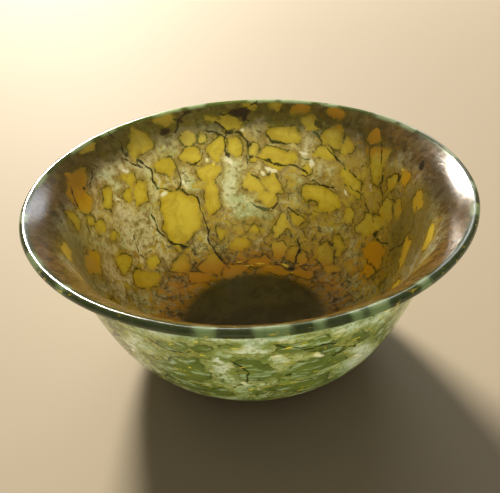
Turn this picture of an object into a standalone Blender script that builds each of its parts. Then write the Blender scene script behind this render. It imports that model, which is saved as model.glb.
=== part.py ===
"""A small thin-walled bowl, carved from one piece of nephrite jade.

The bowl is a turned shape: a low foot ring, a rounded belly, a nearly straight
wall and an everted lip with a round edge. The inner surface follows the outer
one at the thickness of the wall and closes in a gently dished floor.

Metres, +Z up. The origin is on the bowl's axis, in the plane that the foot
ring rests on. Driving dimensions are in millimetres, at the top.
"""

import math

import bmesh
import bpy

MM = 0.001

# Lip: the rim is 105 mm across, with a round edge as thick as the wall there.
RIM_DIAMETER = 105.0
LIP_THICKNESS = 1.9
LIP_CENTRE_HEIGHT = 45.2
LIP_SLOPE = 34.0            # degrees above level, where the flare ends in the edge

# Neck: where the wall starts to flare out towards the lip.
NECK_RADIUS = 44.6
NECK_HEIGHT = 35.5
NECK_SLOPE = 73.0
NECK_PULL_BELOW = 11.5      # how far the wall keeps the neck's direction below it
NECK_PULL_ABOVE = 4.6       # and above it
LIP_PULL = 4.4

# Belly: it leaves the foot almost level.
FOOT_RADIUS = 22.0
FOOT_HEIGHT = 2.0
BELLY_SLOPE = 6.0
BELLY_PULL = 15.5

# Foot ring and the shallow recess inside it.
FOOT_EDGE_ROUND = 0.5
FOOT_DRAFT = 0.3            # the ring's side leans in by this much on its way down
RING_WIDTH = 3.0
RECESS_DEPTH = 1.1
RECESS_DRAFT = 0.8

# Wall and floor.
WALL_AT_FOOT = 2.5
FLOOR_CENTRE_HEIGHT = 3.4
FLOOR_PULL_CENTRE = 9.0
FLOOR_PULL_EDGE = 9.0

# Facets.
TURN_STEPS = 96
BELLY_POINTS = 10
FLARE_POINTS = 6
LIP_POINTS = 5
FLOOR_POINTS = 4

MERGE_DISTANCE = 0.00001
SHARP_ANGLE = math.radians(38.0)


def direction(degrees):
    """A unit vector (radius, height) at this slope above level."""
    angle = math.radians(degrees)
    return math.cos(angle), math.sin(angle)


def step_from(point, slope, distance):
    """The point at this distance from another, along a slope in degrees."""
    across, up = direction(slope)
    return point[0] + across * distance, point[1] + up * distance


def curve_points(start, start_slope, start_pull, end, end_slope, end_pull, count):
    """Points and slopes along a cubic curve that leaves and arrives at given slopes."""
    handle_a = step_from(start, start_slope, start_pull)
    handle_b = step_from(end, end_slope, -end_pull)
    result = []
    for index in range(count + 1):
        t = index / count
        s = 1.0 - t
        weights = (s ** 3, 3 * s * s * t, 3 * s * t * t, t ** 3)
        speeds = (-3 * s * s, 3 * s * s - 6 * s * t, 6 * s * t - 3 * t * t, 3 * t * t)
        controls = (start, handle_a, handle_b, end)
        radius = sum(w * c[0] for w, c in zip(weights, controls))
        height = sum(w * c[1] for w, c in zip(weights, controls))
        across = sum(w * c[0] for w, c in zip(speeds, controls))
        up = sum(w * c[1] for w, c in zip(speeds, controls))
        result.append((radius, height, math.degrees(math.atan2(up, across))))
    return result


def outer_wall():
    """The outside from the foot to the lip's edge, as (radius, height, slope)."""
    lip_centre = (RIM_DIAMETER / 2 - LIP_THICKNESS / 2, LIP_CENTRE_HEIGHT)
    lip_under = step_from(lip_centre, LIP_SLOPE - 90.0, LIP_THICKNESS / 2)
    neck = (NECK_RADIUS, NECK_HEIGHT)
    belly = curve_points((FOOT_RADIUS, FOOT_HEIGHT), BELLY_SLOPE, BELLY_PULL,
                         neck, NECK_SLOPE, NECK_PULL_BELOW, BELLY_POINTS)
    flare = curve_points(neck, NECK_SLOPE, NECK_PULL_ABOVE,
                         lip_under, LIP_SLOPE, LIP_PULL, FLARE_POINTS)
    return belly + flare[1:]


def inner_wall(outer):
    """The inside, offset from the outside by a wall that thins towards the lip."""
    top = outer[-1][1]
    result = []
    for radius, height, slope in outer:
        share = (height - FOOT_HEIGHT) / (top - FOOT_HEIGHT)
        thickness = WALL_AT_FOOT + (LIP_THICKNESS - WALL_AT_FOOT) * share
        result.append(step_from((radius, height), slope + 90.0, thickness))
    return result


def lip_edge():
    """The half round of the lip, from the inner side over the top to the outer side."""
    centre = (RIM_DIAMETER / 2 - LIP_THICKNESS / 2, LIP_CENTRE_HEIGHT)
    result = []
    for index in range(1, LIP_POINTS + 1):
        angle = LIP_SLOPE + 90.0 - 180.0 * index / (LIP_POINTS + 1)
        result.append(step_from(centre, angle, LIP_THICKNESS / 2))
    return result


def corner(centre, first_angle):
    """A rounded corner of the foot ring: an eighth turn at a time, clockwise."""
    angles = (first_angle, first_angle - 45.0, first_angle - 90.0)
    return [step_from(centre, angle, FOOT_EDGE_ROUND) for angle in angles]


def foot():
    """From the belly down the foot ring, across it and up into the recess."""
    side = FOOT_RADIUS - FOOT_DRAFT
    ring_inner = side - RING_WIDTH
    outline = corner((side - FOOT_EDGE_ROUND, FOOT_EDGE_ROUND), 0.0)
    outline += corner((ring_inner + FOOT_EDGE_ROUND, FOOT_EDGE_ROUND), -90.0)
    outline += [(ring_inner - RECESS_DRAFT, RECESS_DEPTH), (0.0, RECESS_DEPTH)]
    return outline


def bowl_profile():
    """The whole outline: floor centre, inner wall, lip, outer wall, foot, recess centre."""
    outer = outer_wall()
    inner = inner_wall(outer)
    floor = curve_points((0.0, FLOOR_CENTRE_HEIGHT), 0.0, FLOOR_PULL_CENTRE,
                         inner[0], BELLY_SLOPE, FLOOR_PULL_EDGE, FLOOR_POINTS)
    outline = [point[:2] for point in floor[:-1]]
    outline += inner
    outline += lip_edge()
    outline += [point[:2] for point in reversed(outer)]
    outline += foot()
    return outline


def nephrite():
    """Polished nephrite: mottled green stone with a soft gloss."""
    material = bpy.data.materials.new("polished_nephrite")
    material.use_nodes = True
    shader = material.node_tree.nodes["Principled BSDF"]
    shader.inputs["Base Color"].default_value = (0.20, 0.24, 0.07, 1.0)
    shader.inputs["Roughness"].default_value = 0.18
    shader.inputs["Metallic"].default_value = 0.0
    shader.inputs["IOR"].default_value = 1.61
    return material


def make_bowl():
    """Turn the outline around the Z axis into one closed solid."""
    mesh = bpy.data.meshes.new("bowl")
    outline = bmesh.new()
    previous = None
    for radius, height in bowl_profile():
        vertex = outline.verts.new((radius * MM, 0.0, height * MM))
        if previous is not None:
            outline.edges.new((previous, vertex))
        previous = vertex
    outline.to_mesh(mesh)
    outline.free()

    bowl = bpy.data.objects.new("bowl", mesh)
    bpy.context.collection.objects.link(bowl)
    turn = bowl.modifiers.new("turn", "SCREW")
    turn.axis = "Z"
    turn.angle = math.tau
    turn.steps = TURN_STEPS
    turn.render_steps = TURN_STEPS
    turn.use_merge_vertices = True
    turn.merge_threshold = MERGE_DISTANCE
    turn.use_smooth_shade = True

    bpy.context.view_layer.update()
    shape = bowl.evaluated_get(bpy.context.evaluated_depsgraph_get())
    turned = bpy.data.meshes.new_from_object(shape)
    bowl.modifiers.clear()
    bowl.data = turned
    turned.name = "bowl"
    turned.shade_smooth()
    turned.set_sharp_from_angle(angle=SHARP_ANGLE)
    turned.materials.clear()
    turned.materials.append(nephrite())
    bpy.data.meshes.remove(mesh)
    return bowl


for old_object in list(bpy.data.objects):
    bpy.data.objects.remove(old_object)

make_bowl()
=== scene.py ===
# %% [markdown]
# # A nephrite jade bowl
#
# This lesson gives a small carved bowl the look of polished nephrite jade.
# The stone is the whole subject: a thin wall that glows when light falls on it
# from behind, golden and olive patches in a cloudy grey-green ground, and dark
# branching veins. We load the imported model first, because every size and place
# below has to agree with it.

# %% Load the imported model
import math
import random

import bpy
import numpy as np
from mathutils import Matrix, Vector, noise


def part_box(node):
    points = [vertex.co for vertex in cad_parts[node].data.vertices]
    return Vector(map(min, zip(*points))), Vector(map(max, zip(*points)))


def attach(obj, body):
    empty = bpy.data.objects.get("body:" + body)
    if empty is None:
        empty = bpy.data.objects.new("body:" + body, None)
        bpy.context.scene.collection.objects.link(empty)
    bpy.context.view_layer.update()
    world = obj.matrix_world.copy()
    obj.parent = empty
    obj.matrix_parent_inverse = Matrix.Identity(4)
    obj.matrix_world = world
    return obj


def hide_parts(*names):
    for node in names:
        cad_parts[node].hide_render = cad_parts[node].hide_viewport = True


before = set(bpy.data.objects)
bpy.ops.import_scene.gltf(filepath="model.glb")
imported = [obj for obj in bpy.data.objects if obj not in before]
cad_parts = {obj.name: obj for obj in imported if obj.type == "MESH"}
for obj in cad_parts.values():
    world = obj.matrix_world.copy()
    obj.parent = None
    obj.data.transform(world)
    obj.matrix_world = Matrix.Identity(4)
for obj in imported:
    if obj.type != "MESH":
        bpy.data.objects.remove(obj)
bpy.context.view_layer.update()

MM = 0.001
low, high = (Vector(corner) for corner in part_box("bowl"))
print("bowl in the packed model, mm:", [round(size / MM, 1) for size in high - low])

# %% [markdown]
# ## Colours
#
# Colours are written as the sRGB hex values that a colour picker shows. A shader
# works with linear light, so one function turns the hex value into linear numbers.

# %% Hex colours to linear
def linear(hex_colour):
    """The linear RGBA of an sRGB hex colour such as 'c2a530'."""
    channels = [int(hex_colour[i:i + 2], 16) / 255 for i in (0, 2, 4)]
    bright = [c / 12.92 if c <= 0.04045 else ((c + 0.055) / 1.055) ** 2.4 for c in channels]
    return (*bright, 1.0)


def add_node(tree, kind, inputs=None, **settings):
    """Add a node, apply its settings, and fill or link its inputs."""
    node = tree.nodes.new(kind)
    for name, value in settings.items():
        setattr(node, name, value)
    for socket, value in (inputs or {}).items():
        if isinstance(value, bpy.types.NodeSocket):
            tree.links.new(value, node.inputs[socket])
        else:
            node.inputs[socket].default_value = value
    return node


print("gold patch in linear light:", [round(c, 3) for c in linear("c2a530")])

# %% [markdown]
# ## The bowl's outline
#
# A carver turns a bowl like this on a wheel, then opens the lip outwards and rounds
# its edge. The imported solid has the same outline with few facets. We could subdivide
# that solid, but its facets would stay, so the outline is drawn again from the same
# dimensions with points about two thirds of a millimetre apart. Each point also keeps
# how far up the wall it lies, because the stone's pattern runs right through the wall
# and has to meet itself on both sides.

# %% Dimensions of the bowl, in millimetres
RIM_RADIUS = (high.x - low.x) / MM / 2
LIP_THICKNESS = 1.9
LIP_CENTRE_HEIGHT = high.z / MM - LIP_THICKNESS / 2
LIP_SLOPE = 34.0
NECK = (44.6, 35.5)
NECK_SLOPE = 73.0
NECK_PULL_BELOW = 11.5
NECK_PULL_ABOVE = 4.6
LIP_PULL = 4.4
FOOT = (22.0, 2.0)
BELLY_SLOPE = 6.0
BELLY_PULL = 15.5
FOOT_EDGE_ROUND = 0.5
FOOT_DRAFT = 0.3
RING_WIDTH = 3.0
RECESS_DEPTH = 1.1
RECESS_DRAFT = 0.8
WALL_AT_FOOT = 2.5
FLOOR_CENTRE_HEIGHT = 3.4
FLOOR_PULL = 9.0

BELLY_POINTS = 62
FLARE_POINTS = 21
LIP_POINTS = 11
FLOOR_POINTS = 32
RECESS_POINTS = 10
TURN_STEPS = 400


def step_from(point, slope, distance):
    """The point at this distance from another, along a slope in degrees."""
    angle = math.radians(slope)
    return (point[0] + math.cos(angle) * distance, point[1] + math.sin(angle) * distance)


def curve_points(start, start_slope, start_pull, end, end_slope, end_pull, count):
    """Points (radius, height, slope) along a cubic curve with given end slopes."""
    controls = np.array([start, step_from(start, start_slope, start_pull),
                         step_from(end, end_slope, -end_pull), end])
    t = np.linspace(0.0, 1.0, count + 1)[:, None]
    s = 1.0 - t
    weights = np.hstack([s ** 3, 3 * s * s * t, 3 * s * t * t, t ** 3])
    speeds = np.hstack([-3 * s * s, 3 * s * s - 6 * s * t, 6 * s * t - 3 * t * t, 3 * t * t])
    places = weights @ controls
    headings = speeds @ controls
    slopes = np.degrees(np.arctan2(headings[:, 1], headings[:, 0]))
    return [(p[0], p[1], a) for p, a in zip(places, slopes)]


LIP_CENTRE = (RIM_RADIUS - LIP_THICKNESS / 2, LIP_CENTRE_HEIGHT)
belly = curve_points(FOOT, BELLY_SLOPE, BELLY_PULL, NECK, NECK_SLOPE, NECK_PULL_BELOW,
                     BELLY_POINTS)
flare = curve_points(NECK, NECK_SLOPE, NECK_PULL_ABOVE,
                     step_from(LIP_CENTRE, LIP_SLOPE - 90.0, LIP_THICKNESS / 2),
                     LIP_SLOPE, LIP_PULL, FLARE_POINTS)
outside = belly + flare[1:]
top = outside[-1][1]
inside = []
for radius, height, slope in outside:
    share = (height - FOOT[1]) / (top - FOOT[1])
    wall = WALL_AT_FOOT + (LIP_THICKNESS - WALL_AT_FOOT) * share
    inside.append(step_from((radius, height), slope + 90.0, wall))
middle = [((a[0] + b[0]) / 2, (a[1] + b[1]) / 2) for a, b in zip(inside, outside)]
up_the_wall = [0.0]
for a, b in zip(middle, middle[1:]):
    up_the_wall.append(up_the_wall[-1] + math.dist(a, b))
WALL_LENGTH = up_the_wall[-1]
print("the wall is %.1f mm long from foot to lip" % WALL_LENGTH)

# %% The whole outline, from the floor's centre over the lip to the recess
# Each entry is radius, height, distance up the wall, radius of the wall's middle,
# and 1 on the inner side, 0 on the outer side.
outline = []
floor = curve_points((0.0, FLOOR_CENTRE_HEIGHT), 0.0, FLOOR_PULL, inside[0], BELLY_SLOPE,
                     FLOOR_PULL, FLOOR_POINTS)
for radius, height, slope in floor[:-1]:
    outline.append((radius, height, radius - inside[0][0], radius, 1.0))
for (radius, height), along, mid in zip(inside, up_the_wall, middle):
    outline.append((radius, height, along, mid[0], 1.0))
for index in range(1, LIP_POINTS + 1):
    share = index / (LIP_POINTS + 1)
    radius, height = step_from(LIP_CENTRE, LIP_SLOPE + 90.0 - 180.0 * share,
                               LIP_THICKNESS / 2)
    crown = math.sin(math.pi * share) * LIP_THICKNESS / 2
    outline.append((radius, height, WALL_LENGTH + crown, LIP_CENTRE[0], 1.0 - share))
for (radius, height, slope), along, mid in zip(outside[::-1], up_the_wall[::-1],
                                               middle[::-1]):
    outline.append((radius, height, along, mid[0], 0.0))

ring_outer = FOOT[0] - FOOT_DRAFT
ring_inner = ring_outer - RING_WIDTH
foot = []
for centre, first in ((ring_outer - FOOT_EDGE_ROUND, 0.0),
                      (ring_inner + FOOT_EDGE_ROUND, -90.0)):
    for turn in range(4):
        foot.append(step_from((centre, FOOT_EDGE_ROUND), first - 30.0 * turn,
                              FOOT_EDGE_ROUND))
recess_edge = ring_inner - RECESS_DRAFT
for index in range(RECESS_POINTS + 1):
    foot.append((recess_edge * (1 - index / RECESS_POINTS), RECESS_DEPTH))
for radius, height in foot:
    outline.append((radius, height, radius - FOOT[0], radius, 0.0))
outline = np.array(outline)
print("outline points:", len(outline))

# %% [markdown]
# ## Turning the outline
#
# Blender's Screw modifier could turn the outline. Here the rings are laid out with
# numpy instead, because every vertex also needs its angle and its distance up the
# wall for the stone's pattern. A hand-polished bowl isn't perfectly round: the lip
# waves by about a tenth of a millimetre and the wall has very shallow hollows, which
# make the reflections bend. Both fade out towards the foot, so that it stands flat.

# %% Vertex positions with the waviness of hand polishing
LIP_WAVE = 0.12             # mm, up and down
HOLLOW_DEPTH = 0.07         # mm
HOLLOW_SIZE = 13.0          # mm from one hollow to the next
INNER_HOLLOWS = Vector((31.0, 7.0, 3.0))

angles = np.linspace(0.0, math.tau, TURN_STEPS, endpoint=False)
rings = outline[1:-1]
steps = np.gradient(rings[:, :2], axis=0)
lengths = np.hypot(steps[:, 0], steps[:, 1])[:, None]
facing = np.hstack([steps[:, 1:2], -steps[:, 0:1]]) / lengths
cos, sin = np.cos(angles), np.sin(angles)
radius = np.repeat(rings[:, 0:1], TURN_STEPS, axis=1)
height = np.repeat(rings[:, 1:2], TURN_STEPS, axis=1)
loose = np.clip((rings[:, 2:3] - 2.0) / 20.0, 0.0, 1.0)
wave = LIP_WAVE * (np.sin(2 * angles + 0.6) + 0.5 * np.sin(3 * angles + 2.1))
height = height + loose ** 2 * wave[None, :]
hollow = np.zeros_like(radius)
for row in range(len(rings)):
    if loose[row, 0] == 0.0:
        continue
    shift = INNER_HOLLOWS * float(rings[row, 4])
    for column in range(TURN_STEPS):
        spot = Vector((radius[row, column] * cos[column], radius[row, column] * sin[column],
                       height[row, column])) / HOLLOW_SIZE
        hollow[row, column] = noise.noise(spot + shift)
push = hollow * HOLLOW_DEPTH * loose
radius = radius + push * facing[:, 0:1]
height = height + push * facing[:, 1:2]
places = np.stack([radius * cos, radius * sin, height], axis=-1).reshape(-1, 3)
floor_centre = [0.0, 0.0, outline[0, 1]]
recess_centre = [0.0, 0.0, outline[-1, 1]]
places = np.vstack([places, floor_centre, recess_centre]) * MM
print("vertices:", len(places))

# %% Faces, and one smooth closed mesh
ring_count = len(rings)
faces = []
for row in range(ring_count - 1):
    a, b = row * TURN_STEPS, (row + 1) * TURN_STEPS
    for column in range(TURN_STEPS):
        after = (column + 1) % TURN_STEPS
        faces.append((a + column, b + column, b + after, a + after))
first_centre, last_centre = len(places) - 2, len(places) - 1
last_ring = (ring_count - 1) * TURN_STEPS
for column in range(TURN_STEPS):
    after = (column + 1) % TURN_STEPS
    faces.append((first_centre, column, after))
    faces.append((last_centre, last_ring + after, last_ring + column))
mesh = bpy.data.meshes.new("jade_bowl")
mesh.from_pydata([tuple(p) for p in places], [], faces)
mesh.shade_smooth()
jade_bowl = bpy.data.objects.new("jade_bowl", mesh)
bpy.context.collection.objects.link(jade_bowl)
print("triangles:", sum(len(f) - 2 for f in faces))

# %% [markdown]
# ## The layout of the stone
#
# The stone is a ground of cloudy felted fibres with clear patches, dark veins and
# a few pale clouds. A shader's noise alone could give some pattern of that kind, but
# not this one: large calm patches on the wall opposite the viewer, a net of cracks
# around them, and small fragments near the floor. So the main shapes are listed in
# degrees around the bowl (90 is the far side, 270 the near side) and in
# millimetres up the wall, and the noise only roughens their edges.
#
# A piece is a list of one or more overlapping chips, and each chip is: degrees, up the
# wall, half its width, half its height, tilt.

# %% Clear pieces on the far wall
FAR_PIECES = [
    # the large blob, the broken column right of it, and the hook
    [(124, 26.3, 6.8, 5.0, 22), (126, 20.9, 6.4, 4.9, 22), (119, 23.2, 6.6, 3.4, 95)],
    [(107, 34.4, 4.2, 3.4, 18), (107, 27.2, 6.6, 2.2, 100), (101, 40.6, 4.6, 1.7, 104)],
    [(87, 28.9, 3.6, 2.4, 33), (81, 24.4, 3.7, 2.7, 0), (79, 29.7, 3.9, 1.5, 90)],
    # left of the blob
    [(124, 39.1, 4.1, 2.4, 38)], [(131, 47.2, 4.6, 2.4, 14)],
    [(138, 35.6, 3.5, 2.9, 113)], [(141, 39.9, 2.4, 1.5, 118)],
    [(145, 36.7, 2.3, 1.6, 122)], [(155, 38.9, 3.4, 2.4, 110)], [(169, 38.6, 2.1, 1.7, 26)],
    [(165, 34.7, 2.4, 1.6, 20)], [(161, 30.0, 1.9, 1.4, 0)],
    [(164, 47.2, 6.9, 3.0, -12), (167, 43.6, 4.2, 3.0, 10)], [(149, 52.9, 3.8, 1.4, 0)],
    [(184, 32.4, 6.8, 2.9, 25)], [(177, 42.6, 3.4, 2.2, 60)],
    # between the cracks above it
    [(118, 51.9, 3.9, 2.3, 0)], [(112, 45.4, 3.0, 2.3, 4)], [(113, 40.1, 3.4, 2.7, 3)],
    [(95, 48.0, 4.4, 1.9, 10)], [(107, 44.3, 1.7, 1.4, -4)], [(94, 40.9, 3.1, 2.5, 95)],
    [(87, 39.9, 2.3, 1.5, 92)], [(87, 36.4, 1.7, 1.2, 0)], [(102, 49.4, 2.2, 1.2, 20)],
    # the two long ovals
    [(75, 44.0, 6.0, 2.4, 4)], [(76, 37.5, 6.8, 2.6, 3)], [(64, 34.6, 2.4, 1.4, -10)],
    # right of them
    [(55, 45.0, 4.7, 2.9, 3)], [(49, 43.6, 2.6, 2.4, 12)], [(65, 48.5, 3.1, 2.6, 30)],
    [(57, 51.9, 3.1, 1.9, 9)], [(70, 51.4, 3.5, 2.4, 8)], [(88, 52.8, 2.9, 1.5, 3)],
    [(79, 52.3, 2.6, 1.8, 3)], [(59, 28.3, 5.4, 2.8, 0), (52, 26.3, 4.3, 3.5, -28)],
    [(57, 40.0, 3.4, 1.6, 6)], [(43, 34.5, 6.2, 1.9, 38)], [(33, 40.6, 6.2, 1.5, 66)],
    [(24, 40.3, 2.9, 2.2, 104)], [(18, 42.5, 2.1, 1.6, 25)], [(39, 47.9, 3.0, 2.3, 13)],
    # lower right
    [(21, 32.4, 4.0, 3.0, 122), (25, 27.1, 4.7, 2.2, -31), (31, 23.6, 3.6, 1.5, -38)],
    [(40, 25.1, 2.6, 1.6, 88)], [(16, 34.5, 2.7, 2.1, 99)], [(17, 19.4, 4.6, 3.4, 16)],
    [(14, 15.6, 2.9, 1.9, -14)], [(6, 41.1, 2.8, 2.0, 75)], [(359, 28.8, 4.4, 2.6, 66)],
    # near the floor
    [(164, 22.2, 3.9, 2.6, 15)], [(148, 15.4, 2.7, 2.2, 149)], [(158, 13.4, 5.6, 2.8, 35)],
    [(134, 9.8, 3.3, 2.7, 136)], [(116, 4.7, 5.0, 3.1, 113)], [(106, 14.9, 2.4, 1.6, 102)],
    [(95, 10.1, 2.6, 2.2, 0)], [(88, 14.8, 1.8, 1.5, 0)], [(85, 3.5, 4.0, 2.4, 0)],
    [(74, 16.2, 4.4, 1.6, 104)], [(66, 18.8, 2.8, 1.9, 83)], [(73, 8.6, 3.1, 2.5, 74)],
    [(64, 7.6, 3.1, 2.2, 70)], [(57, 6.8, 3.5, 2.2, 64)], [(45, 11.0, 4.3, 3.3, 51)],
    [(40, 14.6, 3.4, 1.9, 58)], [(36, 8.0, 3.3, 1.5, -29)], [(103, 1.0, 4.4, 1.9, 0)],
    [(70, 0.6, 5.0, 1.8, 0)], [(128, 2.5, 4.2, 2.2, 20)], [(50, 2.0, 4.0, 2.0, 0)],
]

# %% Clear pieces on the near wall, seen from outside
NEAR_PIECES = [
    [(249, 28.5, 7.8, 4.4, 60), (246, 23.0, 4.6, 3.4, 0)], [(248, 39.0, 4.2, 1.6, 25)],
    [(256, 40.3, 2.4, 1.2, 30)], [(263, 41.6, 1.8, 1.0, 20)], [(240, 30.0, 4.0, 1.4, 58)],
    [(268, 32.4, 4.8, 2.9, 90), (271, 31.6, 3.8, 2.8, -30)], [(257, 21.0, 3.4, 1.9, 0)],
    [(283, 39.2, 7.8, 2.2, -12)], [(290, 35.6, 3.8, 1.5, -38)],
    [(286, 30.8, 5.4, 3.1, -24), (294, 29.8, 3.3, 2.1, -36)], [(283, 21.5, 7.8, 2.4, -16)],
    [(300, 36.0, 3.4, 1.2, -40)], [(228, 38.0, 3.2, 2.2, 30)], [(222, 27.0, 4.6, 2.6, 60)],
    [(232, 16.0, 4.4, 2.6, 10)], [(212, 41.0, 3.6, 2.2, 0)],
    [(205, 31.0, 4.8, 3.0, 80), (201, 26.0, 3.4, 2.4, 20)], [(199, 44.0, 3.8, 2.0, 10)],
    [(212, 18.0, 5.0, 2.6, 20)], [(194, 21.0, 3.6, 2.6, 0)], [(254, 11.0, 5.0, 2.2, 0)],
    [(273, 13.0, 4.6, 2.4, 0)], [(300, 15.0, 4.8, 2.2, 0)], [(312, 33.0, 4.4, 2.6, 70)],
    [(320, 22.0, 4.6, 2.8, 0)], [(316, 44.0, 3.6, 1.8, 10)],
    [(332, 31.0, 4.6, 2.0, 80), (335, 25.0, 3.6, 2.2, 30)], [(338, 14.0, 4.4, 2.4, 20)],
    [(343, 42.0, 3.9, 2.2, 10)], [(348, 22.0, 3.2, 2.0, 60)], [(240, 5.0, 4.8, 1.8, 0)],
    [(222, 4.0, 3.6, 1.6, 0)], [(205, 7.0, 3.6, 1.8, 30)], [(286, 6.0, 5.0, 1.8, 0)],
    [(318, 7.0, 4.6, 1.8, 0)], [(345, 5.0, 3.6, 1.8, 0)],
]

# %% Pale stretches of the lip, dark knots, and pale clouds
# The lip is thick stone seen edge-on, which little light crosses, so its colour is
# painted shade, almost black, but for a few pale stretches of painted light where more
# comes through. Each is: degrees, and half its width in mm.
PALE_LIP = [
    (260.5, 2.3), (270, 0.8), (274, 2.2), (282, 1.0), (289.5, 1.0), (295, 2.0),
    (308, 1.6), (226, 1.2), (212, 3.0), (340, 2.5), (352, 2.0), (192, 2.5),
    (172, 4.0), (150, 5.0), (138, 3.0), (116, 5.0), (106, 2.5), (84, 4.0), (72, 5.0),
    (60, 2.5), (40, 3.5), (30, 3.5), (10, 4.0),
]
KNOTS = [
    (96, 45.4, 1.3, 0.8, 0), (92, 50.6, 3.2, 1.0, 4), (90, 49.4, 1.5, 0.8, 80),
    (23, 24.4, 1.2, 0.9, 0), (15, 48.2, 1.6, 1.1, 60), (62, 47.9, 1.2, 0.8, 40),
    (132, 37.5, 0.9, 0.6, 0), (128, 13.9, 1.3, 0.6, 20), (21, 41.6, 1.4, 0.6, 100),
    (28, 28.6, 0.8, 0.6, 0), (77, 41.6, 1.5, 0.6, 0), (120, 48.4, 2.0, 0.9, -10),
    (114, 50.6, 1.6, 0.7, 30), (60, 9.0, 0.8, 0.7, 90), (61, 2.4, 1.2, 0.6, 0),
    (162, 45.0, 0.8, 0.6, 0), (279, 29.0, 0.9, 0.6, 0), (138, 46.4, 0.7, 0.6, 0),
    (226, 33.0, 1.2, 0.8, 30), (208, 25.0, 1.1, 0.7, 60), (318, 38.0, 1.2, 0.8, 30),
    (336, 36.0, 1.1, 0.7, 90), (297, 46.0, 1.3, 0.6, 0), (250, 46.0, 1.2, 0.6, 0),
]
PALE_CLOUDS = [
    (279, 35.8, 3.5, 2.2, -36), (268, 39.6, 2.6, 2.2, -20), (272, 25.4, 3.0, 2.2, -45),
    (287, 34.3, 1.6, 0.8, -50), (291, 41.5, 2.2, 1.1, -40), (306, 27.0, 6.0, 2.2, -54),
    (303, 23.6, 5.0, 1.6, -56), (258, 31.0, 6.0, 2.3, 74), (232, 33.0, 6.5, 1.7, 52),
    (98, 31.5, 6.5, 3.0, 96), (87, 23.6, 3.4, 1.6, 40), (66, 30.5, 3.0, 1.4, 60),
    (67, 36.6, 3.0, 1.4, 0), (47, 39.4, 4.2, 1.6, 62), (150, 43.0, 4.5, 2.0, 70),
    (133, 38.2, 3.4, 1.5, -40), (206, 37.0, 4.5, 2.0, 60), (220, 21.0, 5.0, 2.0, 30),
    (325, 30.0, 5.5, 2.2, 60), (344, 33.0, 5.0, 2.2, 80), (310, 12.0, 5.0, 2.0, 10),
    (240, 12.0, 5.0, 2.2, 0), (262, 46.0, 7.0, 1.6, 0),
]

# %% Broad changes of the ground
# Soft spots, as: degrees, up the wall, width, height, strength.
CALM = [
    (98, 29, 7, 8, 1.0), (88, 21, 6, 4, 0.9), (148, 27, 9, 7, 1.0), (152, 42, 6, 5, 1.0),
    (66, 31, 2.5, 3, 0.9), (47, 39, 3.5, 4, 1.0), (67, 37, 3.5, 2, 1.0), (132, 33, 4, 4, 0.8),
    (120, 45, 3, 3, 0.6), (84, 34, 4, 2, 0.9), (80, 41, 5, 1.2, 0.7), (63, 44, 3, 3, 0.6),
    (279, 35, 5, 4, 0.8), (305, 26, 7, 6, 0.8), (232, 32, 6, 7, 0.7), (210, 30, 8, 8, 0.6),
    (325, 28, 8, 8, 0.6), (170, 30, 6, 8, 0.6), (262, 45, 8, 2, 0.8), (252, 32, 3, 6, 0.7),
]
BLUSH = [(157, 39, 11, 10, 1.0), (150, 17, 13, 6, 0.7), (172, 24, 10, 9, 0.8),
         (118, 14, 9, 4, 0.5)]
MOSSY = [(345, 28, 22, 26, 1.0), (200, 26, 16, 24, 0.7)]
SMOKY = [(12, 36, 13, 14, 0.9), (178, 36, 8, 14, 0.5), (60, 12, 16, 6, 0.5),
         (120, 8, 22, 6, 0.5)]
DARK = [(0, 36, 13, 16, 1.0), (346, 34, 14, 14, 0.6), (194, 40, 14, 10, 0.8)]
GOLDEN = [(34, 34, 14, 16, 1.0), (55, 22, 9, 5, 0.8), (72, 30, 6, 4, 0.7), (95, 43, 7, 5, 0.6),
          (75, 48, 8, 3, 0.5), (110, 20, 6, 3, 0.6), (90, 16, 12, 4, 0.8), (50, 12, 14, 6, 0.9),
          (10, 24, 12, 14, 0.8),
          (248, 38, 9, 3, 0.7), (290, 37, 9, 3, 0.6), (256, 20, 8, 3, 0.5),
          # The spots at 224 and 318 degrees, 42 mm up, warm the outer wall near its left and
          # right edges: partly the stone's golden tone, partly painted reflection of the lit
          # floor.
          (278, 29, 6, 3, 0.5), (224, 42, 8, 9, 0.9), (318, 42, 8, 9, 0.9)]
AMBER = [(164, 46, 9, 7, 1.0), (184, 34, 9, 9, 0.8), (70, 52, 9, 4, 0.8), (56, 51, 9, 4, 0.9),
         (39, 48, 9, 7, 0.9), (15, 42, 9, 9, 0.7), (17, 18, 9, 9, 0.9), (118, 53, 9, 4, 0.4),
         (158, 13, 9, 6, 0.4), (20, 30, 9, 9, 0.4)]
# Painted highlights: small white sparkles of reflected light.
WHITE_GLINTS = [
    (79.5, 33.6, 1.6, 0.7, 10), (83.0, 32.4, 0.9, 0.5, 0), (107, 38.4, 0.5, 0.4, 0),
    (66, 39.6, 1.6, 0.5, -8), (98, 36.8, 1.4, 0.8, 60), (62, 36.2, 1.2, 0.8, 40),
    (44, 30.8, 0.7, 0.5, 0), (33, 35.4, 0.8, 0.4, 60), (128, 31.6, 1.2, 0.6, 0),
    (142, 42.6, 1.0, 0.6, 30), (150, 37.4, 1.0, 0.5, 60), (118, 33.6, 1.1, 0.5, 90),
    (287, 34.3, 1.4, 0.6, -50), (266, 26.6, 1.2, 0.6, -40), (275, 37.2, 1.4, 0.6, 0),
    (302, 27.0, 1.6, 0.5, -50), (230, 30.0, 1.6, 0.5, 50), (91, 45.2, 0.8, 0.4, 20),
]
# Painted glints: gold sparks of reflected light on rough spots, mostly near the floor.
GLINTS = [(84, 2.4, 1.5, 0.35, 4), (92, 1.6, 1.2, 0.3, 0), (77, 1.4, 1.3, 0.3, -6),
          (66, 3.0, 1.1, 0.35, 8), (59, 1.2, 0.8, 0.3, 0), (99, 3.2, 0.8, 0.3, 0),
          (18, 24.2, 1.4, 0.3, 10), (21, 44.6, 1.3, 0.3, 8), (104, 36.6, 0.6, 0.3, 0)]

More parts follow.
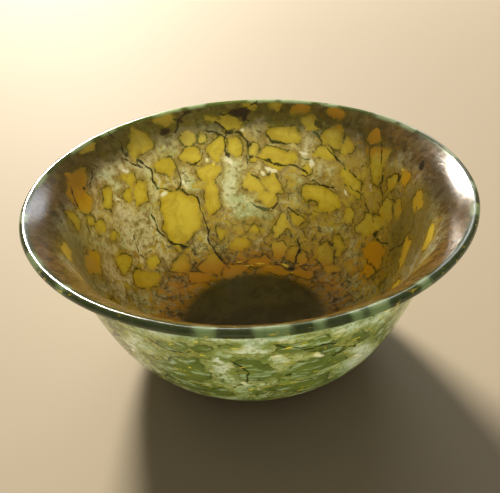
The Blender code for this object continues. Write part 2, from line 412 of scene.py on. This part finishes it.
# %% Veins: half their width in mm, then points of degrees and mm up the wall
VEINS = [
    (0.30, [(105, 45.8), (101, 44.6), (96, 45.3), (92.5, 44.8), (90, 42.6), (88, 41.2)]),
    (0.32, [(101, 48.0), (96, 45.3), (98, 43.7), (98, 40.9), (98, 37.0)]),
    (0.34, [(98, 50.6), (92, 50.6), (89.5, 49.2), (88, 47.4)]),
    (0.30, [(92, 50.6), (88, 52.1), (85, 54.0)]),
    (0.32, [(85, 45.0), (80, 42.3), (77.5, 41.6), (74, 41.8)]),
    (0.28, [(88, 37.6), (83, 36.7), (79, 35.6), (74, 34.6), (70, 35.2), (63, 34.0)]),
    (0.20, [(89, 41.1), (89.5, 37.0), (90, 33.6)]),
    (0.22, [(108, 40.1), (110, 38.6), (114, 37.4)]),
    (0.34, [(125, 31.6), (120, 31.3), (118, 29.5), (114, 27.3), (113, 25.0), (112, 22.2),
            (112, 19.3), (113, 14.3), (112, 11.0), (110, 7.0), (106, 2.0)]),
    (0.22, [(88, 31.3), (84, 30.6), (81.5, 27.0)]),
    (0.30, [(89, 23.2), (85, 21.3), (79, 20.7), (75.5, 23.4)]),
    (0.26, [(70, 22.2), (65, 20.6)]),
    (0.26, [(69, 38.4), (63, 37.0)]),
    (0.30, [(63, 13.0), (60.5, 9.8), (60, 5.8), (61, 3.0)]),
    (0.28, [(138, 54.0), (137, 50.0), (138.5, 47.3), (140, 46.2), (138, 44.2),
            (135, 41.4)]),
    (0.34, [(135, 43.6), (130, 40.0), (132, 37.3), (130.5, 34.4), (127, 32.8),
            (123, 30.8), (120, 31.3)]),
    (0.26, [(120, 38.5), (118.5, 34.1), (120, 32.1), (123, 30.8)]),
    (0.32, [(137, 28.5), (137.5, 22.8), (134, 18.2), (129, 14.8), (125, 13.4)]),
    (0.30, [(138, 41.0), (139, 38.4)]),
    (0.22, [(154, 47.8), (157, 45.5), (160, 43.4)]),
    (0.30, [(121, 49.2), (117, 47.8), (114, 50.6), (109, 52.4)]),
    (0.26, [(63, 45.4), (58, 42.3), (54, 40.8), (48, 38.4)]),
    (0.30, [(48, 37.4), (42, 36.4)]),
    (0.28, [(61, 31.6), (56, 30.8), (50, 30.8)]),
    (0.24, [(35, 47.0), (30, 41.5), (29, 38.3), (28, 35.7), (24, 32.6)]),
    (0.30, [(22.5, 43.4), (19.5, 39.6)]),
    (0.26, [(42, 33.3), (34.5, 32.2), (30, 28.6), (27, 26.8)]),
    (0.30, [(23, 24.2), (17, 23.0), (13, 25.5)]),
    (0.26, [(5, 40.0), (2, 34.0), (5, 28.4), (10, 24.0)]),
    (0.20, [(167, 48.0), (172, 44.0), (170, 40.0), (174, 36.0)]),
    (0.20, [(150, 25.0), (153, 20.0), (150, 17.5)]),
    (0.30, [(274, 41.4), (278, 40.0), (283, 38.8)]),
    (0.30, [(283, 37.4), (287, 38.1), (292, 37.6)]),
    (0.32, [(292, 33.0), (297, 33.6), (300, 33.0)]),
    (0.26, [(277, 27.2), (281, 26.0), (287, 24.4)]),
    (0.24, [(239, 31.2), (243, 30.0)]),
    (0.26, [(241, 39.2), (244, 37.3), (247, 36.7), (252, 38.0)]),
    (0.24, [(264, 36.4), (267, 31.8), (267, 27.6), (263, 24.0)]),
    (0.26, [(230, 44.0), (225, 38.0), (226, 33.0), (220, 30.0), (213, 31.0)]),
    (0.26, [(226, 33.0), (232, 27.0), (233, 21.0), (228, 15.0)]),
    (0.24, [(213, 31.0), (208, 25.0), (210, 18.0), (203, 13.0)]),
    (0.24, [(208, 25.0), (200, 26.0), (193, 30.0), (190, 38.0)]),
    (0.26, [(308, 46.0), (313, 41.0), (318, 38.0), (324, 38.5), (330, 35.0)]),
    (0.26, [(318, 38.0), (316, 31.0), (319, 27.0), (314, 18.0)]),
    (0.24, [(330, 35.0), (336, 36.0), (341, 31.0), (340, 24.0), (346, 17.0)]),
    (0.22, [(297, 50.0), (297, 46.0), (302, 42.0)]),
    (0.22, [(254, 50.0), (250, 46.0), (243, 45.0)]),
]
print("pieces %d, knots %d, clouds %d, veins %d" % (
    len(FAR_PIECES) + len(NEAR_PIECES), len(KNOTS), len(PALE_CLOUDS), len(VEINS)))

# %% [markdown]
# ## From the layout to fields on the surface
#
# A picture of the pattern could be painted into an image, but it would blur close up.
# Instead each vertex stores how far it is from the nearest edge of each kind of shape,
# in millimetres, negative inside. Such a distance changes smoothly from vertex to
# vertex, so the shader can cut it at zero and get an edge far sharper than the mesh.
# Before measuring, the places are shifted by a little noise, which turns the plain
# ovals into the broken outlines that grown stone has.

# %% Where each vertex lies in the stone
def per_vertex(column):
    """One value of the outline for every vertex."""
    values = np.repeat(rings[:, column], TURN_STEPS)
    return np.concatenate([values, [outline[0, column], outline[-1, column]]])


turned = np.concatenate([np.tile(np.degrees(angles), ring_count), [0.0, 0.0]])
along = per_vertex(2)
mid_radius = np.maximum(per_vertex(3), 0.01)
inner_side = per_vertex(4)

WARPS = [(5.0, 1.0), (1.9, 0.45)]      # size and reach of the shifts, mm
mid_x = mid_radius * np.cos(np.radians(turned))
mid_y = mid_radius * np.sin(np.radians(turned))
shift_around = np.zeros(len(places))
shift_up = np.zeros(len(places))
for size, reach in WARPS:
    for index in range(len(places)):
        spot = Vector((mid_x[index], mid_y[index], along[index])) / size
        bend = noise.noise_vector(spot)
        shift_around[index] += bend.x * reach
        shift_up[index] += bend.y * reach
print("shifts reach %.1f mm" % np.abs(shift_around).max())

# %% Distance to the nearest patch
# Patches are broken pieces, so each is a many-sided chip with straight edges around
# the oval of its size. Where two of them touch, a thin gap stays open between them.
FAR_AWAY = 8.0
CHIP_SIDES = (5, 6, 7, 8)
GAP = 0.30                  # mm between touching chips
chips = random.Random(12)


def offsets(degrees, height_up):
    """How far each vertex lies from a place, around and up, in millimetres."""
    around = (turned - degrees + 180.0) % 360.0 - 180.0
    return (np.radians(around) * mid_radius + shift_around, along - height_up + shift_up)


def turned_offsets(degrees, height_up, tilt):
    """The same, measured along the patch's own width and height."""
    around, up = offsets(degrees, height_up)
    c, s = math.cos(math.radians(tilt)), math.sin(math.radians(tilt))
    return around * c + up * s, up * c - around * s


def chip_distance(degrees, height_up, half_width, half_height, tilt):
    """Distance to the edge of a many-sided chip, negative inside."""
    x, y = turned_offsets(degrees, height_up, tilt)
    sides = chips.choice(CHIP_SIDES)
    first = chips.random()
    distance = np.full(len(places), -FAR_AWAY)
    for side in range(sides):
        angle = math.tau * (side + first + 0.40 * chips.uniform(-1.0, 1.0)) / sides
        a, b = math.cos(angle), math.sin(angle)
        reach = math.hypot(half_width * a, half_height * b) * chips.uniform(0.82, 1.04)
        distance = np.maximum(distance, x * a + y * b - reach)
    return distance


def oval_distance(degrees, height_up, half_width, half_height, tilt):
    """Distance to the edge of an oval, negative inside."""
    x, y = turned_offsets(degrees, height_up, tilt)
    x, y = x / half_width, y / half_height
    reach = np.sqrt(x * x + y * y) + 1e-6
    slope = np.sqrt((x / half_width) ** 2 + (y / half_height) ** 2) + 1e-6
    return reach * (reach - 1.0) / slope


def nearest_edge(pieces, shape):
    """Distance to the nearest piece, to the second nearest, and which one is nearest."""
    nearest = np.full(len(places), FAR_AWAY)
    second = np.full(len(places), FAR_AWAY)
    which = np.zeros(len(places), dtype=int)
    for number, piece in enumerate(pieces):
        distance = np.minimum.reduce([shape(*chip) for chip in piece])
        closer = distance < nearest
        second = np.where(closer, nearest, np.minimum(second, distance))
        nearest = np.where(closer, distance, nearest)
        which[closer] = number
    return nearest, second, which


def soft_spots(spots):
    """A value that is highest in the middle of each soft spot and fades out."""
    value = np.zeros(len(places))
    for degrees, height_up, width, tall, strength in spots:
        around, up = offsets(degrees, height_up)
        value = np.maximum(value, strength * np.exp(-(around / width) ** 2 - (up / tall) ** 2))
    return value


pieces = FAR_PIECES + NEAR_PIECES
clear_edge, clear_second, clear_number = nearest_edge(pieces, chip_distance)
clear_edge = np.maximum(clear_edge, (GAP - (clear_second - clear_edge)) / 2)
knot_edge = nearest_edge([[knot] for knot in KNOTS], oval_distance)[0]
cloud_edge = nearest_edge([[cloud] for cloud in PALE_CLOUDS], oval_distance)[0]
glint_edge = nearest_edge([[glint] for glint in GLINTS], oval_distance)[0]
white_glint_edge = nearest_edge([[fleck] for fleck in WHITE_GLINTS], oval_distance)[0]
pale_lip = [[(degrees, WALL_LENGTH + 0.3, half, 2.6, 0)] for degrees, half in PALE_LIP]
lip_edge = nearest_edge(pale_lip, chip_distance)[0]
print("clear stone covers %.0f %% of the vertices" % (100 * (clear_edge < 0).mean()))

# %% Offset to the nearest vein
# A vein is thinner than the mesh's spacing, so its distance alone would be lost
# between vertices. The offset to it, as a small vector, crosses zero in a straight
# line from one side to the other, so the shader can still find the vein's middle.
vein_offset = np.full((len(places), 3), FAR_AWAY)
vein_far = np.full(len(places), FAR_AWAY)
for half_width, points in VEINS:
    for (deg_a, up_a), (deg_b, up_b) in zip(points, points[1:]):
        around, up = offsets((deg_a + deg_b) / 2, (up_a + up_b) / 2)
        half_x = np.radians(deg_b - deg_a) * mid_radius / 2
        half_y = (up_b - up_a) / 2
        share = (around * half_x + up * half_y) / (half_x ** 2 + half_y ** 2 + 1e-6)
        share = np.clip(share, -1.0, 1.0)
        x, y = around - share * half_x, up - share * half_y
        distance = np.hypot(x, y)
        closer = distance < vein_far
        vein_far[closer] = distance[closer]
        vein_offset[closer] = np.stack([x, y, np.full_like(x, half_width)], 1)[closer]
print("vertices within a millimetre of a vein:", int((vein_far < 1.0).sum()))

# %% Store the fields on the mesh
tones = random.Random(7)
piece_tone = np.array([tones.random() for _ in pieces])
FIELDS = {
    "up_the_wall": along, "inner_side": inner_side,
    "clear_edge": clear_edge, "clear_tone": piece_tone[clear_number],
    "knot_edge": knot_edge, "cloud_edge": cloud_edge, "lip_edge": lip_edge,
    "glint_edge": glint_edge, "white_glint_edge": white_glint_edge, "vein_far": vein_far,
    "calm": soft_spots(CALM), "blush": soft_spots(BLUSH),
    "mossy": soft_spots(MOSSY), "smoky": soft_spots(SMOKY),
    "golden": soft_spots(GOLDEN), "amber": soft_spots(AMBER), "dark": soft_spots(DARK),
}
for name, values in FIELDS.items():
    field = mesh.attributes.new(name, "FLOAT", "POINT")
    field.data.foreach_set("value", values.astype(np.float32))
field = mesh.attributes.new("vein_offset", "FLOAT_VECTOR", "POINT")
field.data.foreach_set("vector", vein_offset.astype(np.float32).ravel())
print("fields stored:", len(mesh.attributes))

# %% [markdown]
# ## Polished nephrite
#
# Nephrite is a felt of fine amphibole fibres. It is hard and takes a soft, slightly
# greasy polish, and a wall two millimetres thick lets light through. The shader is one
# Principled BSDF: its subsurface part carries the light through the wall, its gloss is
# that of a stone with an index of 1.61, and fine orange-peel bumps break the
# highlights. Light that crosses the stone comes out golden, and light that the outside
# throws back looks green, so the same patches get two sets of colours, and the golden
# set of the inner side is painted light: the glow of light through the wall.

# %% The stone's colours
# The inner side's colours: the stone's pattern in the gold of painted light through the wall.
INSIDE = {
    "ground": "cac2ac", "ground_cool": "b8c0aa", "ground_light": "ebe7d8",
    "ground_brown": "866626", "blush": "dac6b4", "mossy": "7d8456", "smoky": "aa8c50",
    "golden": "b0942c", "dark": "5a4a20", "smudge": "4a380e", "cloud": "d4d9c6", "fragment": "c0aa3a", "fragment_deep": "a2801a",
    "clear": "c9b430", "clear_deep": "b0951a", "clear_pale": "d8c856",
    "amber": "cc980e", "vein": "1c1306", "vein_soft": "55603e", "crack": "45340c",
    # The lip and the floor are painted shade: thick stone seen edge-on, and a floor in the far
    # wall's shadow.
    "lip": "33401f", "lip_pale": "93a486", "floor": "4a431f", "floor_mid": "645d36",
    # Painted shade under the lip's flare, in dark blotches.
    "shade_blotch": "3a2a0c",
}
OUTSIDE = {
    "ground": "c0cec4", "ground_cool": "aabcae", "ground_light": "eaf0ee",
    "ground_brown": "82863f", "dark": "8c9a68", "smudge": "465022", "blush": "bcc2a0", "mossy": "96aa84", "smoky": "b4ba86",
    "golden": "a8a05a", "cloud": "e2e9e2", "fragment": "8b964c", "fragment_deep": "6f7c38",
    "clear": "6f7a38", "clear_deep": "55642a", "clear_pale": "868f48",
    "amber": "a8984a", "vein": "28300f", "vein_soft": "3a4420", "crack": "464e1c",
    # The lip and the underside of the foot are painted shade here too.
    "lip": "33431f", "lip_pale": "8ea47e", "floor": "4f5f34", "floor_mid": "6d7b4c",
    # Painted shade in blotches, used only on the inner side.
    "shade_blotch": "3c4a22",
}
# Multiplied into the stone under the lip's flare as painted shade.
SHADE = "86601c"
# Gold of the painted glints.
GOLD_GLINT = "fbe04e"
# White of the painted highlights.
WHITE_GLINT = "fbf8e6"

nephrite = bpy.data.materials.new("polished_nephrite")
nephrite.use_nodes = True
tree = nephrite.node_tree
shader = tree.nodes["Principled BSDF"]
shader.inputs["Metallic"].default_value = 0.0
shader.inputs["IOR"].default_value = 1.61
shader.inputs["Subsurface Weight"].default_value = 1.0
shader.inputs["Subsurface Radius"].default_value = (1.0, 1.08, 0.85)
shader.inputs["Subsurface Scale"].default_value = 8.5 * MM
shader.subsurface_method = "RANDOM_WALK"

# %% Noise at the sizes of the real texture
# Clouds of fibres are 5 to 10 mm across, knots of fibres 2 mm, and single bundles of
# fibres about half a millimetre. The polish's pits are 0.3 mm, near the finest that
# this picture can show.
NOISE_SIZES = {
    "drift": (11.0, 2.0, 0.5, 0.4), "clouds": (5.0, 4.0, 0.62, 0.6),
    "smudge": (3.2, 4.0, 0.65, 0.5), "blots": (3.0, 5.0, 0.62, 0.9),
    "knots": (2.1, 4.0, 0.6, 0.8),
    "flecks": (1.3, 3.0, 0.6, 0.5), "fibres": (0.8, 3.0, 0.65, 1.0),
    "grain": (0.42, 2.0, 0.6, 0.0),
}
stone_space = add_node(tree, "ShaderNodeTexCoord").outputs["Object"]
noises = {}
for name, (size, detail, roughness, distortion) in NOISE_SIZES.items():
    node = add_node(tree, "ShaderNodeTexNoise", {
        "Vector": stone_space, "Scale": 1.0 / (size * MM), "Detail": detail,
        "Roughness": roughness, "Distortion": distortion})
    noises[name] = node.outputs[0]
# Streaks run across the near wall, up to the right: the same noise, pulled long.
STREAK_TILT = 36.0
streak_space = add_node(tree, "ShaderNodeMapping", {
    "Vector": stone_space, "Rotation": (0.0, math.radians(STREAK_TILT), 0.0),
    "Scale": (0.22, 0.6, 1.0)}).outputs[0]
for name, size in (("streaks", 1.5), ("glint_streaks", 0.75)):
    node = add_node(tree, "ShaderNodeTexNoise", {
        "Vector": streak_space, "Scale": 1.0 / (size * MM), "Detail": 3.0,
        "Roughness": 0.6, "Distortion": 0.4})
    noises[name] = node.outputs[0]
fields = {}
for name in FIELDS:
    fields[name] = add_node(tree, "ShaderNodeAttribute", attribute_name=name).outputs["Fac"]


def times_plus(value, factor, more=0.0):
    """Multiply a value and add to it; any of the three may be a socket."""
    return add_node(tree, "ShaderNodeMath", {0: value, 1: factor, 2: more},
                    operation="MULTIPLY_ADD").outputs[0]


def times(value, factor):
    """The product of two values."""
    return add_node(tree, "ShaderNodeMath", {0: value, 1: factor},
                    operation="MULTIPLY").outputs[0]


print("noises:", ", ".join(noises))

# %% Roughen the edges of the shapes
# A field plus a little noise, in millimetres: (field, noise, reach, noise, reach).
ROUGHENED = {
    "clear": ("clear_edge", "fibres", 0.9, "knots", 1.6),
    "cloud": ("cloud_edge", "knots", 3.6, "fibres", 1.6),
    "knot": ("knot_edge", "fibres", 0.9, "knots", 0.8),
    "lip_block": ("lip_edge", "fibres", 0.8, "smudge", 3.0),
    "glint": ("glint_edge", "fibres", 0.5, "flecks", 0.6),
    "white": ("white_glint_edge", "fibres", 0.9, "flecks", 1.4),
    "up": ("up_the_wall", "clouds", 6.0, "knots", 3.0),
    "up_far": ("up_the_wall", "drift", 9.0, "clouds", 5.0),
    "up_fine": ("up_the_wall", "fibres", 0.5, "knots", 0.8),
    "up_floor": ("up_the_wall", "knots", 1.6, "clouds", 2.2),
}
rough = {}
for name, (field, noise_a, reach_a, noise_b, reach_b) in ROUGHENED.items():
    value = times_plus(noises[noise_a], reach_a, fields[field])
    value = times_plus(noises[noise_b], reach_b, value)
    rough[name] = times_plus(value, 1.0, -(reach_a + reach_b) / 2)

# %% Fragments between the pieces, and the cracks among them
# Between the large pieces the stone is crushed. Clear crumbs 2 to 4 mm across show
# where a noise of that size is high enough, and the more crowded a place is, the lower
# the bar. The cracks are the borders of Voronoi cells whose space is strongly bent.
CRACK_CELL = 3.6 * MM
BEND = 3.4 * MM
bend_noise = add_node(tree, "ShaderNodeTexNoise", {
    "Vector": stone_space, "Scale": 1.0 / (2.8 * MM), "Detail": 5.0, "Roughness": 0.6})
bent_space = add_node(tree, "ShaderNodeVectorMath", {
    0: bend_noise.outputs["Color"], 1: (BEND, BEND, BEND), 2: stone_space},
    operation="MULTIPLY_ADD").outputs[0]
cells = add_node(tree, "ShaderNodeTexVoronoi", {
    "Vector": bent_space, "Scale": 1.0 / CRACK_CELL}, feature="DISTANCE_TO_EDGE")
crack_mm = times(cells.outputs["Distance"], CRACK_CELL / MM)

# %% The veins
# The wobbled offset's length is the distance to the vein's middle. Its third number
# is the vein's half width. Halfway between two veins the offsets cancel, which would
# draw a false vein, so the stored distance, less the mesh's spacing, sets a floor.
MESH_SPACING = 0.45
vein_attribute = add_node(tree, "ShaderNodeAttribute", attribute_name="vein_offset")
split = add_node(tree, "ShaderNodeSeparateXYZ", {0: vein_attribute.outputs["Vector"]})
wobble = add_node(tree, "ShaderNodeSeparateXYZ", {0: bend_noise.outputs["Color"]})
parts = [times_plus(wobble.outputs[axis], 1.6, split.outputs[axis]) for axis in (0, 1)]
centred = [times_plus(part, 1.0, -0.8) for part in parts]
flat = add_node(tree, "ShaderNodeCombineXYZ", {0: centred[0], 1: centred[1]})
length = add_node(tree, "ShaderNodeVectorMath", {0: flat.outputs[0]}, operation="LENGTH")
least = times_plus(fields["vein_far"], 1.0, -MESH_SPACING)
vein_distance = add_node(tree, "ShaderNodeMath", {
    0: length.outputs["Value"], 1: least}, operation="MAXIMUM").outputs[0]
swell = times_plus(noises["smudge"], 3.4, -0.95)
vein_half = times(swell, split.outputs[2])
rough["vein"] = add_node(tree, "ShaderNodeMath", {
    0: vein_distance, 1: vein_half}, operation="SUBTRACT").outputs[0]

# %% Masks: where each kind of stone shows
# Each is a source, the value where it is absent, the value where it is full, and how
# strong it gets.
crowded = times_plus(fields["calm"], -0.7, times_plus(fields["golden"], 0.35, 0.45))
crowded = times_plus(rough["up_far"], -0.014, add_node(
    tree, "ShaderNodeMath", {0: crowded, 1: 0.36}).outputs[0])
crumbs = times_plus(crowded, 0.16, noises["blots"])
MASKS = {
    "cool": (noises["drift"], 0.44, 0.58, 0.9),
    "light": (noises["smudge"], 0.50, 0.66, 0.7),
    "brown": (noises["clouds"], 0.48, 0.66, 0.65),
    "fine": (noises["flecks"], 0.50, 0.68, 0.5),
    "smudge": (times_plus(crowded, 0.14, noises["knots"]), 0.66, 0.74, 0.8),
    "pale_streak": (noises["streaks"], 0.47, 0.36, 0.75),
    "fine_light": (noises["flecks"], 0.46, 0.30, 0.55),
    "streak": (noises["streaks"], 0.50, 0.66, 0.75),
    "blush": (fields["blush"], 0.05, 0.9, 0.8),
    "mossy": (fields["mossy"], 0.05, 0.9, 0.8),
    "smoky": (fields["smoky"], 0.05, 0.9, 0.85),
    "golden": (times_plus(noises["smudge"], 1.6, times_plus(fields["golden"], 1.0, -0.8)),
               0.1, 0.75, 0.85),
    "cloud": (rough["cloud"], 1.0, -1.0, 0.75),
    "low": (rough["up_far"], 16.0, 3.0, 0.7),
    "dark": (fields["dark"], 0.1, 0.8, 0.85),
    "crumb": (crumbs, 0.60, 0.66, 0.85),
    "crack": (crack_mm, 0.26, 0.06, 0.9),
    "deep_crumb": (noises["clouds"], 0.42, 0.60, 0.9),
    "crisp": (rough["clear"], 0.14, -0.14, 1.0),
    "fading": (rough["clear"], 1.1, -1.3, 1.0),
    "tinted": (rough["clear"], 3.0, 0.0, 0.55),
    "deep": (noises["clouds"], 0.42, 0.64, 0.6),
    "pale": (fields["clear_tone"], 0.5, 1.0, 0.5),
    "heart": (rough["clear"], -0.6, -3.0, 0.55),
    "margin": (rough["clear"], -1.1, -0.1, 0.5),
    "pits": (noises["fibres"], 0.62, 0.74, 0.5),
    "warm": (rough["up_far"], 13.0, 2.0, 0.85),
    "amber": (times_plus(noises["smudge"], 1.2, times_plus(fields["amber"], 1.0, -0.6)),
              0.25, 0.85, 0.95),
    "lip": (rough["up_fine"], 53.0, 54.0, 0.92),
    "shade": (rough["up"], 43.0, 49.0, 0.95),
    "flare": (rough["up"], 44.0, 49.0, 1.0),
    "patchy": (noises["smudge"], 0.50, 0.60, 0.75),
    "vein": (rough["vein"], 0.14, -0.06, 0.97),
    "vein_soft": (fields["calm"], 0.3, 0.7, 0.8),
    "knot": (rough["knot"], 0.25, -0.25, 0.92),
    "pale_lip": (rough["lip_block"], 1.0, -0.9, 0.8),
    "glint": (rough["glint"], 0.2, -0.2, 1.0),
    "white": (rough["white"], 0.3, -0.4, 0.85),
    "floor": (rough["up_floor"], -0.8, -3.8, 1.0),
    "dim": (noises["drift"], 0.40, 0.62, 1.0),
    "halo_out": (rough["clear"], 2.2, 0.3, 0.75),
    "edge_out": (rough["clear"], 0.46, 0.06, 1.0),
    "edge_in": (rough["clear"], -0.30, 0.05, 1.0),
    "some": (noises["clouds"], 0.42, 0.55, 1.0),
    "others": (noises["smudge"], 0.58, 0.42, 1.0),
    "gold": (noises["glint_streaks"], 0.63, 0.69, 0.9),
}
masks = {}
for name, (source, absent, full, strength) in MASKS.items():
    backwards = absent > full
    node = add_node(tree, "ShaderNodeMapRange", {
        "Value": source,
        "From Min": full if backwards else absent, "From Max": absent if backwards else full,
        "To Min": strength if backwards else 0.0, "To Max": 0.0 if backwards else strength},
        interpolation_type="SMOOTHSTEP")
    masks[name] = node.outputs[0]
masks["clear"] = add_node(tree, "ShaderNodeMix", {
    0: masks["others"], 2: masks["crisp"], 3: masks["fading"]}).outputs[0]
masks["rim"] = times(times(masks["edge_out"], masks["edge_in"]), masks["some"])
masks["crack"] = times(times(masks["crack"], masks["some"]), crowded)
masks["pale_lip"] = times(masks["pale_lip"], masks["lip"])
masks["halo"] = times(masks["halo_out"], masks["others"])
# Painted shade under the lip's flare, broken into dark blotches.
masks["shade_blotch"] = times(masks["flare"], masks["patchy"])
masks["shade_clear"] = times(masks["shade"], 0.45)
print("masks:", len(masks))

# %% Layer the colours
# One list serves both sides: the ground first, then what lies over it.
GROUND_LAYERS = [("cool", "ground_cool"), ("blush", "blush"), ("mossy", "mossy"),
                 ("light", "ground_light"), ("smoky", "smoky"), ("low", "smoky"),
                 ("brown", "ground_brown"), ("cloud", "cloud"), ("fine", "ground_brown"),
                 ("fine_light", "ground_light"), ("golden", "golden"),
                 ("tinted", "golden"), ("halo", "ground_brown"), ("fine", "ground_brown"),
                 ("smudge", "smudge"), ("dark", "dark")]
CRUMB_LAYERS = [("deep_crumb", "fragment_deep"), ("warm", "amber"), ("amber", "amber"),
                ("dark", "dark")]
CLEAR_LAYERS = [("heart", "clear_pale"), ("margin", "clear_deep"), ("deep", "clear_deep"),
                ("pale", "clear_pale"), ("warm", "amber"), ("amber", "amber"),
                ("dark", "fragment_deep"), ("pits", "crack")]


def layered(colours, start, layers):
    """Lay colours over a start colour, each through its mask."""
    result = start
    for mask, colour in layers:
        result = add_node(tree, "ShaderNodeMix", {
            0: masks[mask], 6: result, 7: linear(colours[colour])},
            data_type="RGBA").outputs[2]
    return result


def blend(mask, below, above):
    """Lay one colour socket over another through a mask."""
    return add_node(tree, "ShaderNodeMix", {0: mask, 6: below, 7: above},
                    data_type="RGBA").outputs[2]


def shaded(colour, mask):
    """Painted shade on the stone under the lip's flare, which light reaches only through more
    stone.
    """
    return add_node(tree, "ShaderNodeMix", {0: mask, 6: colour, 7: linear(SHADE)},
                    data_type="RGBA", blend_type="MULTIPLY").outputs[2]


def side_of_the_wall(colours, extra_ground, extra_clear, in_shade):
    """The stone's colour as one side of the wall shows it."""
    ground = layered(colours, linear(colours["ground"]), GROUND_LAYERS + extra_ground)
    crumb = layered(colours, linear(colours["fragment"]), CRUMB_LAYERS)
    clear = layered(colours, linear(colours["clear"]), CLEAR_LAYERS + extra_clear)
    stone = blend(masks["crumb"], ground, crumb)
    stone = layered(colours, stone, [("crack", "crack")])
    if in_shade:
        stone = layered(colours, shaded(stone, masks["shade"]), [("shade_blotch", "shade_blotch")])
        clear = shaded(clear, masks["shade_clear"])
    stone = blend(masks["clear"], stone, clear)
    return layered(colours, stone, [("rim", "crack")])


def finished(colours, stone):
    """Lay the lip's painted shade, the veins and the floor's disc of painted shade over the
    stone.
    """
    vein = layered(colours, linear(colours["vein"]), [("vein_soft", "vein_soft")])
    # The floor's disc of painted shade, mottled with a lighter tone.
    disc = layered(colours, linear(colours["floor"]), [("dim", "floor_mid"),
                                                       ("patchy", "floor")])
    # The lip's band of painted shade, with its pale stretches of painted light.
    stone = layered(colours, stone, [("lip", "lip"), ("pale_lip", "lip_pale")])
    stone = blend(masks["vein"], stone, vein)
    stone = layered(colours, stone, [("knot", "vein")])
    return blend(masks["floor"], stone, disc)


inner = finished(INSIDE, side_of_the_wall(INSIDE, [], [], True))
outer = finished(OUTSIDE, side_of_the_wall(OUTSIDE, [("streak", "ground_brown")],
                                           [("pale_streak", "ground")], False))
# Painted glints on the outside: gold sparks of light from fractures in the stone, in streaks.
outer = blend(masks["gold"], outer, linear(GOLD_GLINT))
colour = blend(fields["inner_side"], outer, inner)
# Painted glints over both sides.
colour = blend(masks["glint"], colour, linear(GOLD_GLINT))
# Painted white highlights over both sides.
colour = blend(masks["white"], colour, linear(WHITE_GLINT))
tree.links.new(colour, shader.inputs["Base Color"])

# %% The polish
# Wheel polishing leaves nephrite at a roughness near 0.15, with an orange-peel of
# pits where the fibres tore out.
polish = add_node(tree, "ShaderNodeMapRange", {
    "Value": noises["knots"], "From Min": 0.3, "From Max": 0.7, "To Min": 0.12,
    "To Max": 0.22})
tree.links.new(polish.outputs[0], shader.inputs["Roughness"])
pits = add_node(tree, "ShaderNodeMath", {0: noises["grain"], 1: noises["fibres"]})
bump = add_node(tree, "ShaderNodeBump", {
    "Height": pits.outputs[0], "Strength": 0.35, "Distance": 0.05 * MM})
tree.links.new(bump.outputs[0], shader.inputs["Normal"])
mesh.materials.append(nephrite)

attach(jade_bowl, "root")
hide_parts("bowl")
print("nodes in the stone's shader:", len(tree.nodes))

# %% [markdown]
# ## The place it stands in
#
# The bowl stands on a plain pale floor. A translucent wall only shows its colours when
# light falls on it from behind, so the main light is a wide soft box behind the bowl,
# low enough to reach the outside of the far wall and the inside of the near one. A
# pale sky fills the shadows.

# %% Pale floor
FLOOR_SIZE = 6.0            # metres, so that no edge shows
bpy.ops.mesh.primitive_plane_add(size=FLOOR_SIZE)
floor_plane = bpy.context.object
floor_plane.name = "pale_floor"
paper = bpy.data.materials.new("matt_pale_card")
paper.use_nodes = True
card = paper.node_tree.nodes["Principled BSDF"]
card.inputs["Roughness"].default_value = 0.7
weave = add_node(paper.node_tree, "ShaderNodeTexNoise", {"Scale": 1.0 / 0.04, "Detail": 3.0})
tint = add_node(paper.node_tree, "ShaderNodeMix", {
    0: weave.outputs[0], 6: linear("c6b89e"), 7: linear("ccbfa7")}, data_type="RGBA")
paper.node_tree.links.new(tint.outputs[2], card.inputs["Base Color"])
floor_plane.data.materials.append(paper)

# %% Soft boxes and sky
def soft_box(name, azimuth, elevation, distance, width, depth, power, colour):
    """An area light that faces the bowl from a direction given in degrees."""
    data = bpy.data.lights.new(name, "AREA")
    data.shape = "RECTANGLE"
    data.size = width
    data.size_y = depth
    data.energy = power
    data.color = linear(colour)[:3]
    light = bpy.data.objects.new(name, data)
    bpy.context.collection.objects.link(light)
    a, e = math.radians(azimuth), math.radians(elevation)
    away = Vector((math.cos(a) * math.cos(e), math.sin(a) * math.cos(e), math.sin(e)))
    light.location = away * distance + Vector((0.0, 0.0, 0.03))
    light.rotation_euler = away.to_track_quat("Z", "Y").to_euler()
    return light


soft_box("low_sun", 106.0, 28.0, 3.0, 0.60, 0.45, 150.0, "fff4e2")
soft_box("wide_window", 80.0, 24.0, 2.5, 1.1, 0.5, 9.0, "f2f6ff")
world = bpy.data.worlds.new("pale_sky")
world.use_nodes = True
sky = world.node_tree.nodes["Background"]
sky.inputs["Color"].default_value = linear("f2e8d6")
sky.inputs["Strength"].default_value = 0.17
bpy.context.scene.world = world

# %% [markdown]
# ## The camera
#
# The camera's height, distance and tilt were worked out from the outline of the rim,
# which is a circle and so fixes the view. It looks down at the rim by about 29 degrees
# from close by, and leans a little.

# %% Camera
EYE = Vector((0.0, -135.2, 120.3)) * MM
LOOK_DOWN = 34.38           # degrees below level
LEAN = -3.17
TURN = 0.11
FOCAL_PIXELS = 650.0
IMAGE_WIDTH = 500.0
SENSOR_WIDTH = 36.0
camera_data = bpy.data.cameras.new("camera")
camera_data.sensor_width = SENSOR_WIDTH
camera_data.lens = FOCAL_PIXELS / IMAGE_WIDTH * SENSOR_WIDTH
camera_data.clip_start = 0.005
camera = bpy.data.objects.new("camera", camera_data)
bpy.context.collection.objects.link(camera)
aim = (Matrix.Rotation(math.radians(TURN), 4, "Z")
       @ Matrix.Rotation(math.radians(90.0 - LOOK_DOWN), 4, "X")
       @ Matrix.Rotation(math.radians(LEAN), 4, "Z"))
camera.matrix_world = Matrix.Translation(EYE) @ aim
bpy.context.scene.camera = camera
bpy.context.scene.view_settings.view_transform = "Standard"
print("lens %.1f mm" % camera_data.lens)
